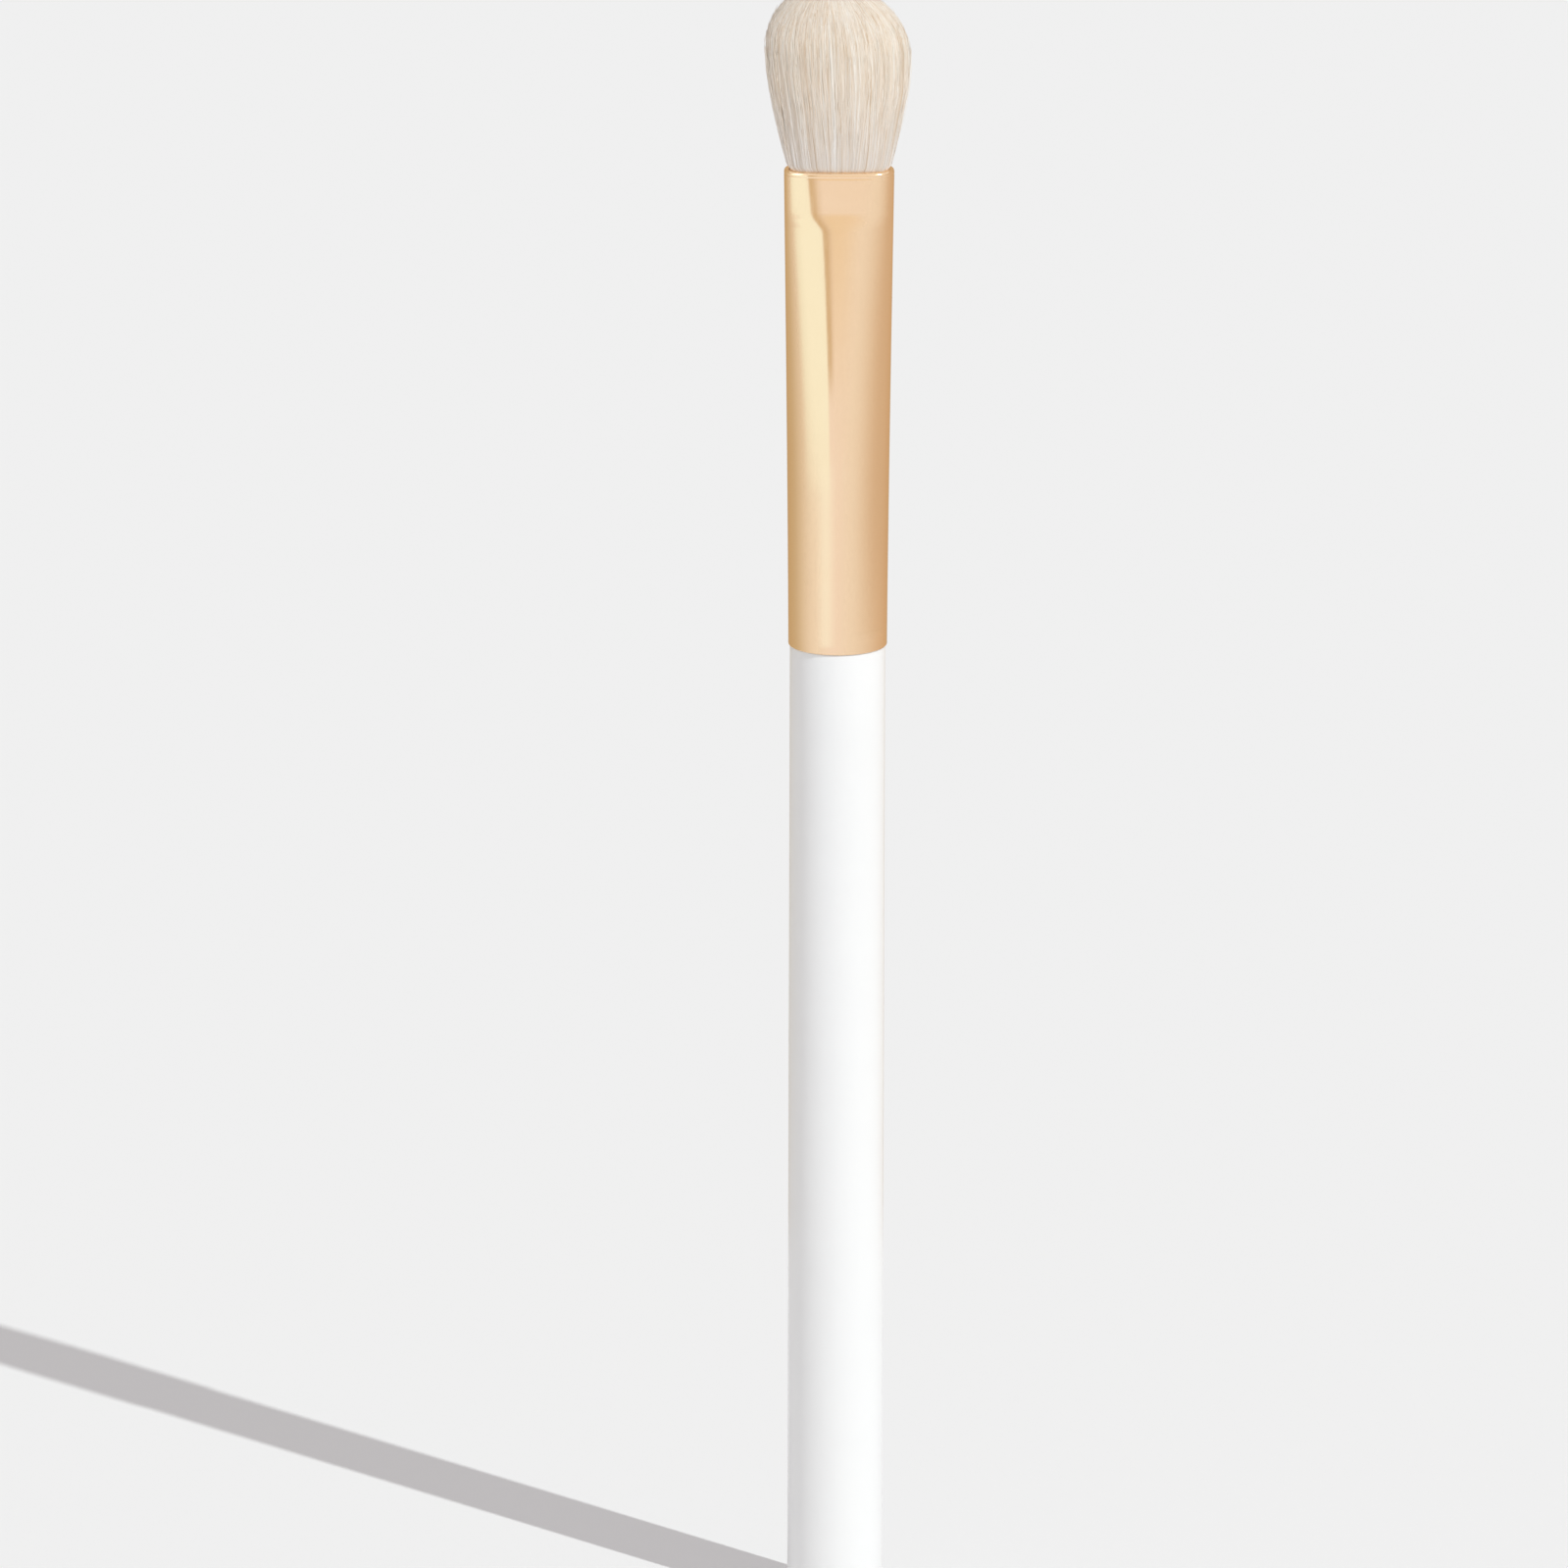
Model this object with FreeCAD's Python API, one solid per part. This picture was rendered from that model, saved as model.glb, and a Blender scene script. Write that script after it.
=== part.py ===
import FreeCAD, Part
import math
import os

# Eyeshadow brush, in millimetres. The foot stands at the origin and Z runs up to the tuft.
# X runs across the wide side of the tuft and Y through its thin side.

# Handle, a turned stick with a tenon at its top
handle_diameter = 7.0
handle_length = 73.0
foot_edge_radius = 0.8
tenon_length = 11.0
tenon_end_chamfer = 0.5

# Ferrule, a tube that is round at the handle and pressed flat at the mouth
ferrule_length = 36.0
ferrule_step = 0.12
ferrule_wall = 0.25
mouth_width = 8.06
mouth_thickness = 3.6
pressed_length = 3.7
lip_curl = 0.35
round_headroom = 1.0
widening_power = 1.25
flattening_power = 1.4

# Glue and binding inside the ferrule
glue_film = 0.15
bond_clearance = 0.02
plug_gap = 1.0
plug_length = 6.0
plug_floor = 2.0
thread_diameter = 0.35
tie_turns = 4
tie_gap = 0.6
tie_clearance = 0.32
spread_gap = 0.6

# Hair outside the ferrule
tuft_height = 14.0
tuft_width = 10.8
tuft_thickness = 6.0
dome_height = 5.4
swell_power = 0.9
hair_clearance = 0.05

# Bending of the tuft, as a knuckle of hair that turns in a trough of hair
knuckle_radius = 2.1
knuckle_lift = 0.1
knuckle_gap = 0.1
collar_height = 0.6

# Half angle of the broad arcs of every oval section, in degrees
broad_half_angle = 18.0
# The dome's last section stands at this angle, in degrees, where its flat cap is small
dome_last_angle = 84.0
# Steps between the sections of each lofted stretch
taper_steps = 14
glue_steps = 4
throat_steps = 4
collar_steps = 2
swell_steps = 6
dome_steps = 8

# Sizes that follow from those above
ferrule_diameter = handle_diameter + 2 * ferrule_step
bore_diameter = ferrule_diameter - 2 * ferrule_wall
tenon_diameter = bore_diameter - 2 * glue_film
lip_radius = (ferrule_wall + lip_curl) / 2
ferrule_base = handle_length
mouth = ferrule_base + ferrule_length
lip_base = mouth - lip_radius
tenon_top = handle_length + tenon_length
plug_base = tenon_top + plug_gap
plug_top = plug_base + plug_length
root_base = plug_base + plug_floor
tie_base = plug_top + tie_gap
tie_top = tie_base + tie_turns * thread_diameter
spread_base = tie_top + spread_gap
belly = mouth + tuft_height - dome_height
knuckle_height = mouth + knuckle_lift + knuckle_radius
crease = mouth - pressed_length
crest = mouth + hair_clearance
crest_width = mouth_width - 2 * lip_radius
crest_thickness = mouth_thickness - 2 * lip_radius
throat_radius = lip_radius + hair_clearance
neck_width = crest_width - 2 * throat_radius
neck_thickness = crest_thickness - 2 * throat_radius


def point(x, y, z):
    return FreeCAD.Vector(x, y, z)


# An oval of tangent arcs, broad at front and back and tight at both ends, from the middle of one end
def oval_wire(width, thickness, z):
    broad = math.radians(broad_half_angle)
    spread = (width - thickness) / 2 / (math.sin(broad) + math.cos(broad) - 1)
    end_radius = width / 2 - spread * math.sin(broad)
    broad_radius = end_radius + spread
    end_x = spread * math.sin(broad)
    broad_y = spread * math.cos(broad)
    join_x = broad_radius * math.sin(broad)
    join_y = broad_radius * math.cos(broad) - broad_y
    middle = math.pi / 4 - broad / 2
    middle_x = end_x + end_radius * math.cos(middle)
    middle_y = end_radius * math.sin(middle)
    right = point(width / 2, 0, z)
    left = point(-width / 2, 0, z)
    back = point(0, thickness / 2, z)
    front = point(0, -thickness / 2, z)
    right_back = point(join_x, join_y, z)
    left_back = point(-join_x, join_y, z)
    left_front = point(-join_x, -join_y, z)
    right_front = point(join_x, -join_y, z)
    arcs = [
        Part.Arc(right, point(middle_x, middle_y, z), right_back),
        Part.Arc(right_back, back, left_back),
        Part.Arc(left_back, left, left_front),
        Part.Arc(left_front, front, right_front),
        Part.Arc(right_front, point(middle_x, -middle_y, z), right),
    ]
    return Part.Wire([arc.toShape() for arc in arcs])


# A smooth solid through oval sections, each given as width, thickness and height
def oval_loft(sections):
    wires = [oval_wire(width, thickness, z) for width, thickness, z in sections]
    return Part.makeLoft(wires, True, False)


# Heights from low to high in equal steps
def steps(low, high, count):
    return [low + (high - low) * i / count for i in range(count + 1)]


# The ferrule's outer width and thickness at a height
def ferrule_size(z):
    along = (z - ferrule_base) / (lip_base - ferrule_base)
    width = ferrule_diameter + (mouth_width - ferrule_diameter) * along ** widening_power
    flat_start = tenon_top + round_headroom
    pressed = min(max((z - flat_start) / (crease - flat_start), 0), 1)
    thickness = ferrule_diameter - (ferrule_diameter - mouth_thickness) * pressed ** flattening_power
    return width, min(thickness, width)


# The bound hair and its thread leave a clearance to the bore where the flattening has gone furthest
root_diameter = ferrule_size(tie_top)[1] - 2 * (ferrule_wall + tie_clearance + thread_diameter)


# A solid of the ferrule's form, drawn in all round by an inset, through a list of heights
def ferrule_form(inset, heights):
    sections = []
    for z in heights:
        width, thickness = ferrule_size(z)
        sections.append((width - 2 * inset, thickness - 2 * inset, z))
    return oval_loft(sections)


# The ferrule's whole form up to the lip, with a crease where the pressed stretch begins
def whole_ferrule_form(inset):
    tapered = ferrule_form(inset, steps(ferrule_base, crease, taper_steps))
    pressed = ferrule_form(inset, [crease, lip_base])
    return tapered.fuse(pressed)


# The free hair's width and thickness at a height between the lip's crest and the belly
def tuft_size(z):
    swell = math.sin(math.pi / 2 * (z - crest) / (belly - crest)) ** swell_power
    width = crest_width + (tuft_width - crest_width) * swell
    thickness = crest_thickness + (tuft_thickness - crest_thickness) * swell
    return width, thickness


def cylinder(radius, low, high):
    return Part.makeCylinder(radius, high - low, point(0, 0, low))


# The cylinder that the tuft turns in, along X
def knuckle(radius):
    length = 2 * tuft_width
    return Part.makeCylinder(radius, length, point(-length / 2, 0, knuckle_height), point(1, 0, 0))


# A block that covers the whole section of the brush between two heights
def slab(low, high):
    side = 2 * (tuft_width + mouth_width + ferrule_diameter)
    return Part.makeBox(side, side, high - low, point(-side / 2, -side / 2, low))


# The stick: flat foot with a rounded edge, straight shaft, shoulder and tenon
def make_handle():
    radius = handle_diameter / 2
    tenon_radius = tenon_diameter / 2
    foot_radius = radius - foot_edge_radius
    edge_middle = foot_edge_radius * math.sqrt(0.5)
    foot_arc = Part.Arc(
        point(foot_radius, 0, 0),
        point(foot_radius + edge_middle, 0, foot_edge_radius - edge_middle),
        point(radius, 0, foot_edge_radius),
    )
    corners = [
        point(radius, 0, foot_edge_radius),
        point(radius, 0, handle_length),
        point(tenon_radius, 0, handle_length),
        point(tenon_radius, 0, tenon_top - tenon_end_chamfer),
        point(tenon_radius - tenon_end_chamfer, 0, tenon_top),
        point(0, 0, tenon_top),
        point(0, 0, 0),
        point(foot_radius, 0, 0),
    ]
    edges = [foot_arc.toShape()]
    edges += [Part.makeLine(a, b) for a, b in zip(corners, corners[1:])]
    profile = Part.Face(Part.Wire(edges))
    return profile.revolve(point(0, 0, 0), point(0, 0, 1), 360)


# The glue between the tenon and the bore, as a thin sleeve up to the tenon's chamfer
def make_tenon_glue():
    low = ferrule_base + bond_clearance
    high = tenon_top - tenon_end_chamfer
    sleeve = ferrule_form(ferrule_wall + bond_clearance, steps(low, high, glue_steps))
    return sleeve.cut(cylinder(tenon_diameter / 2 + bond_clearance, low, high))


# The half round lip that is rolled inwards at the mouth
def make_lip():
    path = oval_wire(mouth_width - 2 * lip_radius, mouth_thickness - 2 * lip_radius, lip_base)
    outer = mouth_width / 2
    inner = outer - 2 * lip_radius
    roll = Part.Arc(point(outer, 0, lip_base), point(outer - lip_radius, 0, mouth), point(inner, 0, lip_base))
    seat = Part.makeLine(point(inner, 0, lip_base), point(outer, 0, lip_base))
    return path.makePipeShell([Part.Wire([roll.toShape(), seat])], True, False)


# The tube with its rolled lip
def make_ferrule():
    tube = whole_ferrule_form(0).cut(whole_ferrule_form(ferrule_wall))
    return tube.fuse(make_lip()).removeSplitter()


# The resin plug that fills the bore round the bound end of the hair
def make_root_glue():
    plug = ferrule_form(ferrule_wall + bond_clearance, steps(plug_base, plug_top, glue_steps))
    return plug.cut(cylinder(root_diameter / 2 + bond_clearance, root_base - bond_clearance, plug_top))


# The binding thread, as a band with one ridge for each turn
def make_root_tie():
    inner = root_diameter / 2 + bond_clearance
    ridge_foot = inner + thread_diameter / 2
    ridge_top = inner + thread_diameter
    edges = [Part.makeLine(point(inner, 0, tie_base), point(ridge_foot, 0, tie_base))]
    for turn in range(tie_turns):
        low = tie_base + turn * thread_diameter
        middle = low + thread_diameter / 2
        high = low + thread_diameter
        ridge = Part.Arc(point(ridge_foot, 0, low), point(ridge_top, 0, middle), point(ridge_foot, 0, high))
        edges.append(ridge.toShape())
    edges.append(Part.makeLine(point(ridge_foot, 0, tie_top), point(inner, 0, tie_top)))
    edges.append(Part.makeLine(point(inner, 0, tie_top), point(inner, 0, tie_base)))
    profile = Part.Face(Part.Wire(edges))
    return profile.revolve(point(0, 0, 0), point(0, 0, 1), 360)


# The held end of the hair: a round bound stub that flattens to the mouth and ends in a low collar
def make_hair_root():
    stub = cylinder(root_diameter / 2, root_base, spread_base)
    middle_width = (root_diameter + neck_width) / 2
    middle_thickness = (root_diameter + neck_thickness) / 2
    spread = oval_loft([
        (root_diameter, root_diameter, spread_base),
        (middle_width, middle_thickness, (spread_base + crease) / 2),
        (neck_width, neck_thickness, crease),
    ])
    neck = oval_loft([(neck_width, neck_thickness, crease), (neck_width, neck_thickness, lip_base)])
    rolled = []
    for angle in steps(0, 90, throat_steps):
        inset = 2 * throat_radius * math.cos(math.radians(angle))
        rise = throat_radius * math.sin(math.radians(angle))
        rolled.append((crest_width - inset, crest_thickness - inset, lip_base + rise))
    throat = oval_loft(rolled)
    collar_top = mouth + collar_height
    collar = oval_loft([tuft_size(z) + (z,) for z in steps(crest, collar_top, collar_steps)])
    held = stub.fuse([spread, neck, throat, collar])
    return held.cut(knuckle(knuckle_radius + knuckle_gap)).removeSplitter()


# The free hair: it swells from the mouth to the belly, ends in a dome and turns on a round knuckle
def make_hair_tuft():
    sections = [tuft_size(z) + (z,) for z in steps(crest, belly, swell_steps)]
    top_rise = math.sin(math.radians(dome_last_angle))
    for angle in steps(0, dome_last_angle, dome_steps)[1:]:
        shrink = math.cos(math.radians(angle))
        rise = math.sin(math.radians(angle)) / top_rise
        sections.append((tuft_width * shrink, tuft_thickness * shrink, belly + dome_height * rise))
    kept = slab(knuckle_height, mouth + 2 * tuft_height).fuse(knuckle(knuckle_radius))
    return oval_loft(sections).common(kept).removeSplitter()


pieces = {
    "handle": make_handle(),
    "tenon_glue": make_tenon_glue(),
    "ferrule": make_ferrule(),
    "root_glue": make_root_glue(),
    "root_tie": make_root_tie(),
    "hair_root": make_hair_root(),
    "hair_tuft": make_hair_tuft(),
}

os.makedirs("parts", exist_ok=True)
for name, shape in pieces.items():
    shape.exportStep("parts/" + name + ".step")
    print(name, "solids", len(shape.Solids), "valid", shape.isValid(), "volume", round(shape.Volume, 2))
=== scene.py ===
# Eyeshadow brush: a soft domed tuft in a gold ferrule on a white lacquered handle
import math

import bpy
import numpy as np
from mathutils import Matrix, Vector


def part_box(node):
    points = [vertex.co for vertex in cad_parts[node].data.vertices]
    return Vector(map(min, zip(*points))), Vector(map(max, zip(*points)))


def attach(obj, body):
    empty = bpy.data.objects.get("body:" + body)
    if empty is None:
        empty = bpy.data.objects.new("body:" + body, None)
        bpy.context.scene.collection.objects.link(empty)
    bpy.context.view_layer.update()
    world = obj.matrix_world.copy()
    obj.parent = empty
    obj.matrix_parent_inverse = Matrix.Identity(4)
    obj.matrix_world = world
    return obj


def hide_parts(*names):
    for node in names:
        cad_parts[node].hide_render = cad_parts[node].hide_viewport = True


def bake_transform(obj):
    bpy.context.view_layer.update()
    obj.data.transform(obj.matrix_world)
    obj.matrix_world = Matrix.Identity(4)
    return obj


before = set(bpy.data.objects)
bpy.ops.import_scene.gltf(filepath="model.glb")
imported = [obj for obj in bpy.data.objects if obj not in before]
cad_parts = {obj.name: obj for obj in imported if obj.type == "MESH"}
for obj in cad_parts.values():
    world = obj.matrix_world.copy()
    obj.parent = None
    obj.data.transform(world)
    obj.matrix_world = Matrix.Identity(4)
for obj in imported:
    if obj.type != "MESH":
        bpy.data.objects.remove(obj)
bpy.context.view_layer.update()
mm = 0.001  # sizes below are in millimetres, the scene is in metres
ferruleLow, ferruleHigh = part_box("ferrule")
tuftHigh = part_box("hair_tuft")[1]
mouthHeight = ferruleHigh.z / mm
shoulderHeight = ferruleLow.z / mm
print("frame loaded")


# Shared steps

def clearSelection():
    active = bpy.context.view_layer.objects.active
    if active and active.mode != "OBJECT":
        bpy.ops.object.mode_set(mode="OBJECT")
    bpy.ops.object.select_all(action="DESELECT")


def startRing(name, sides, ring):
    clearSelection()
    across, through, height = ring
    bpy.ops.mesh.primitive_circle_add(vertices=sides, radius=mm)
    piece = bpy.context.object
    piece.name = piece.data.name = name
    bpy.ops.object.mode_set(mode="EDIT")
    bpy.ops.mesh.select_all(action="SELECT")
    bpy.ops.transform.resize(value=(across, through, 1), center_override=(0, 0, 0))
    bpy.ops.transform.translate(value=(0, 0, height * mm))
    return piece


def drawRing(last, ring):
    rise = (ring[2] - last[2]) * mm
    bpy.ops.mesh.extrude_region_move(TRANSFORM_OT_translate={"value": (0, 0, rise)})
    scale = (ring[0] / last[0], ring[1] / last[1], 1)
    bpy.ops.transform.resize(value=scale, center_override=(0, 0, ring[2] * mm))


def drawTube(name, sides, rings):
    piece = startRing(name, sides, rings[0])
    for last, ring in zip(rings, rings[1:]):
        drawRing(last, ring)
    return piece


def selectOpenEdges():
    bpy.ops.mesh.select_all(action="DESELECT")
    bpy.ops.mesh.select_mode(type="EDGE")
    bpy.ops.mesh.select_non_manifold(extend=False)


def endEditing(sharpAngle):
    bpy.ops.mesh.select_all(action="SELECT")
    bpy.ops.mesh.normals_make_consistent(inside=False)
    bpy.ops.object.mode_set(mode="OBJECT")
    bpy.ops.object.shade_smooth_by_angle(angle=math.radians(sharpAngle))


def capEnds():
    selectOpenEdges()
    bpy.ops.mesh.edge_face_add()


def evenSteps(low, high, count):
    return [low + (high - low) * i / count for i in range(count + 1)]


def arcTurns(low, high, count):
    return [math.radians(angle) for angle in evenSteps(low, high, count)]


def soften(share):
    return share * share * (3 - 2 * share)


def ovalSwell(turn, power):  # takes a round section out to a squarer oval
    return (np.abs(np.cos(turn)) ** power + np.abs(np.sin(turn)) ** power) ** (-1 / power)


def addNode(tree, kind, values=None, **settings):
    node = tree.nodes.new(kind)
    for name, value in settings.items():
        setattr(node, name, value)
    for name, value in (values or {}).items():
        node.inputs[name].default_value = value
    return node


def newMaterial(name):
    material = bpy.data.materials.new(name)
    material.use_nodes = True
    return material, material.node_tree, material.node_tree.nodes["Principled BSDF"]


def colourRamp(tree, stops):
    ramp = addNode(tree, "ShaderNodeValToRGB")
    points = ramp.color_ramp.elements
    while len(points) < len(stops):
        points.new(0.5)
    for point, (place, colour) in zip(points, stops):
        point.position = place
        point.color = (*colour, 1)
    return ramp


def mixColours(tree, source, first, second):
    mix = addNode(tree, "ShaderNodeMix", data_type="RGBA")
    mix.inputs["A"].default_value = (*first, 1)
    mix.inputs["B"].default_value = (*second, 1)
    tree.links.new(source, mix.inputs["Factor"])
    return mix.outputs["Result"]


def dress(piece, material):
    piece.data.materials.clear()
    piece.data.materials.append(material)


# Camera at the photograph's angle, far off with a long lens
cameraView = {
    "target": (-3.9, 0, 62.29),
    "distance": 2200,
    "elevation": 15,
    "seenWidth": 115.03,
    "roll": 0.16,
    "sensor": 36,
    "clipEnd": 100,
}


def placeCamera(view):
    tilt = math.radians(view["elevation"])
    back = Vector((0, -math.cos(tilt), math.sin(tilt)))
    place = (Vector(view["target"]) + back * view["distance"]) * mm
    clearSelection()
    bpy.ops.object.camera_add(location=place)
    camera = bpy.context.object
    camera.name = "photoCamera"
    facing = (-back).to_track_quat("-Z", "Y").to_matrix().to_4x4()
    turn = Matrix.Rotation(math.radians(view["roll"]), 4, "Z")
    camera.matrix_world = Matrix.Translation(place) @ facing @ turn
    camera.data.sensor_width = view["sensor"]
    camera.data.lens = view["sensor"] * view["distance"] / view["seenWidth"]
    camera.data.clip_end = view["clipEnd"]
    bpy.context.scene.camera = camera


placeCamera(cameraView)
print("camera placed")


# Floor, sky light, one soft sun and the cards that the metal shows
studio = {
    "paper": (0.87, 0.87, 0.87),
    "floorSize": 40,
    "skyStrength": 0.59,
    "skyTint": (1.01, 0.975, 0.985),
    "sunStrength": 1.9,
    "sunTint": (0.945, 0.993, 0.979),
    "sunHeight": 45,
    "sunFrom": 43.3,
    "sunSize": 0.6,
    "sunPlace": (0.4, -0.5, 0.7),
}
cards = {  # curved screens round the brush: directions in degrees, heights and distance in millimetres
    "windowCard": {
        "from": -84, "to": -16, "low": 52, "high": 165, "distance": 100, "soft": (0.3, 0.05, 0.25),
        "colour": (0.85, 0.98, 1.0), "strength": 1.13,
    },
    "topWindow": {
        "from": -76, "to": -28, "low": 120, "high": 300, "distance": 100, "soft": (0.2, 0.2, 0.1),
        "colour": (1.0, 1.0, 1.0), "strength": 2.2,
    },
    "lowWindow": {
        "from": -54, "to": 0, "low": 30, "high": 72, "distance": 101, "soft": (0.5, 0.5, 0.0),
        "colour": (0.87, 0.95, 1.0), "strength": 1.09,
    },
    "darkStrip": {
        "from": -18.5, "to": -5, "low": 86, "high": 150, "distance": 60, "soft": (0.12, 0.65, 0.06),
        "colour": (1.0, 0.85, 0.63), "strength": 0.66,
    },
    "horizonCard": {
        "from": -14, "to": 32, "low": 76, "high": 165, "distance": 99, "soft": (0.2, 0.75, 0.35),
        "colour": (1.0, 0.92, 0.79), "strength": 0.855,
    },
    "frontCard": {
        "from": -50, "to": 34, "low": 1, "high": 200, "distance": 103, "soft": (0.4, 0.6, 0.0),
        "colour": (0.955, 0.945, 1.0), "strength": 0.945,
    },
    "rightUpper": {
        "from": 24, "to": 154, "low": 44, "high": 200, "distance": 95, "soft": (0.7, 0.0, 0.1),
        "colour": (1.0, 0.83, 0.67), "strength": 0.66,
    },
    "rightCard": {
        "from": 16, "to": 154, "low": 1, "high": 200, "distance": 96, "soft": (0.84, 0.0, 0.0),
        "colour": (1.0, 0.83, 0.67), "strength": 0.69,
    },
    "leftCard": {
        "from": -165, "to": -45, "low": 1, "high": 200, "distance": 96, "soft": (0.0, 0.66, 0.0),
        "colour": (1.0, 0.88, 0.67), "strength": 0.6,
    },
    "backCard": {
        "from": 145, "to": 205, "low": 1, "high": 200, "distance": 98, "soft": (0.1, 0.1, 0.0),
        "colour": (1.0, 0.87, 0.7), "strength": 0.65,
    },
}


def layFloor(setup):
    clearSelection()
    bpy.ops.mesh.primitive_plane_add(size=setup["floorSize"])
    floor = bpy.context.object
    floor.name = "floor"
    material, tree, shader = newMaterial("palePaper")
    shader.inputs["Base Color"].default_value = (*setup["paper"], 1)
    shader.inputs["Roughness"].default_value = 1
    shader.inputs["Specular IOR Level"].default_value = 0
    dress(floor, material)


def lightSky(setup):
    world = bpy.data.worlds.new("studioSky")
    bpy.context.scene.world = world
    world.use_nodes = True
    tree = world.node_tree
    sky = tree.nodes["Background"]
    path = addNode(tree, "ShaderNodeLightPath")
    seen = addNode(tree, "ShaderNodeMath", operation="MAXIMUM")
    tree.links.new(path.outputs["Is Camera Ray"], seen.inputs[0])
    tree.links.new(path.outputs["Is Glossy Ray"], seen.inputs[1])
    clear = addNode(tree, "ShaderNodeMath", operation="MAXIMUM")
    tree.links.new(seen.outputs[0], clear.inputs[0])
    tree.links.new(path.outputs["Is Transmission Ray"], clear.inputs[1])
    glow = [tint * setup["skyStrength"] for tint in setup["skyTint"]]
    tree.links.new(mixColours(tree, clear.outputs[0], glow, setup["paper"]), sky.inputs["Color"])


def hangSun(setup):
    clearSelection()
    bpy.ops.object.light_add(type="SUN", location=setup["sunPlace"])
    sun = bpy.context.object
    sun.name = "softSun"
    rise, side = math.radians(setup["sunHeight"]), math.radians(setup["sunFrom"])
    travel = Vector((-math.sin(side) * math.cos(rise), math.cos(side) * math.cos(rise), -math.sin(rise)))
    sun.rotation_euler = travel.to_track_quat("-Z", "Y").to_euler()
    sun.data.energy = setup["sunStrength"]
    sun.data.color = setup["sunTint"]
    sun.data.angle = math.radians(setup["sunSize"])


def standCard(name, card):
    clearSelection()
    bpy.ops.mesh.primitive_grid_add(x_subdivisions=24, y_subdivisions=1, size=1)
    board = bpy.context.object
    board.name = name
    for corner in board.data.vertices:
        turn = math.radians(card["from"] + (card["to"] - card["from"]) * (corner.co.x + 0.5))
        height = card["low"] + (card["high"] - card["low"]) * (corner.co.y + 0.5)
        side, back = math.sin(turn) * card["distance"], -math.cos(turn) * card["distance"]
        corner.co = Vector((side, back, height)) * mm
    material, tree, shader = newMaterial(name + "Glow")
    shader.inputs["Base Color"].default_value = (0, 0, 0, 1)
    shader.inputs["Specular IOR Level"].default_value = 0
    shader.inputs["Emission Color"].default_value = (*card["colour"], 1)
    shader.inputs["Emission Strength"].default_value = card["strength"]
    place = addNode(tree, "ShaderNodeTexCoord")
    across = addNode(tree, "ShaderNodeSeparateXYZ")
    tree.links.new(place.outputs["UV"], across.inputs[0])
    shown = None
    left, right, foot = card["soft"]
    sliver = 0.001  # a hard edge still has a little width
    edges = [("X", 0, left + sliver), ("X", 1, 1 - sliver - right), ("Y", 0, foot + sliver)]
    for axis, clear, full in edges:
        limits = {"From Min": clear, "From Max": full}
        edge = addNode(tree, "ShaderNodeMapRange", limits, interpolation_type="SMOOTHSTEP")
        tree.links.new(across.outputs[axis], edge.inputs["Value"])
        if shown is None:
            shown = edge.outputs["Result"]
        else:
            both = addNode(tree, "ShaderNodeMath", operation="MULTIPLY")
            tree.links.new(shown, both.inputs[0])
            tree.links.new(edge.outputs["Result"], both.inputs[1])
            shown = both.outputs[0]
    tree.links.new(shown, shader.inputs["Alpha"])
    dress(board, material)
    board.visible_camera = board.visible_diffuse = board.visible_shadow = False


layFloor(studio)
lightSky(studio)
hangSun(studio)
for cardName, card in cards.items():
    standCard(cardName, card)
bpy.context.scene.view_settings.view_transform = "Standard"
print("studio lit")


# Effects that several finishes share

def startGroup(name, inputs, outputs):
    group = bpy.data.node_groups.new(name, "ShaderNodeTree")
    for label, value in inputs.items():
        socket = group.interface.new_socket(label, in_out="INPUT", socket_type="NodeSocketFloat")
        socket.default_value = value
    for label in outputs:
        group.interface.new_socket(label, in_out="OUTPUT", socket_type="NodeSocketFloat")
    return group, addNode(group, "NodeGroupInput"), addNode(group, "NodeGroupOutput")


def makeDrawnLines():
    group, given, result = startGroup("drawnLines", {"Lines": 9000, "Stretch": 60}, ["Mask"])
    place = addNode(group, "ShaderNodeTexCoord")
    along = addNode(group, "ShaderNodeMath", operation="DIVIDE")
    group.links.new(given.outputs["Lines"], along.inputs[0])
    group.links.new(given.outputs["Stretch"], along.inputs[1])
    scale = addNode(group, "ShaderNodeCombineXYZ")
    group.links.new(given.outputs["Lines"], scale.inputs["X"])
    group.links.new(given.outputs["Lines"], scale.inputs["Y"])
    group.links.new(along.outputs[0], scale.inputs["Z"])
    spread = addNode(group, "ShaderNodeVectorMath", operation="MULTIPLY")
    group.links.new(place.outputs["Object"], spread.inputs[0])
    group.links.new(scale.outputs[0], spread.inputs[1])
    lines = addNode(group, "ShaderNodeTexNoise", {"Scale": 1, "Detail": 2, "Roughness": 0.6})
    group.links.new(spread.outputs[0], lines.inputs["Vector"])
    group.links.new(lines.outputs["Fac"], result.inputs["Mask"])
    return group


def makeSoftMottle():
    group, given, result = startGroup("softMottle", {"Patches": 300}, ["Mask"])
    place = addNode(group, "ShaderNodeTexCoord")
    patches = addNode(group, "ShaderNodeTexNoise", {"Detail": 3, "Roughness": 0.55})
    group.links.new(place.outputs["Object"], patches.inputs["Vector"])
    group.links.new(given.outputs["Patches"], patches.inputs["Scale"])
    group.links.new(patches.outputs["Fac"], result.inputs["Mask"])
    return group


drawnLines = makeDrawnLines()
softMottle = makeSoftMottle()


def useGroup(tree, group, **values):
    node = addNode(tree, "ShaderNodeGroup", node_tree=group)
    for name, value in values.items():
        node.inputs[name].default_value = value
    return node


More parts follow.
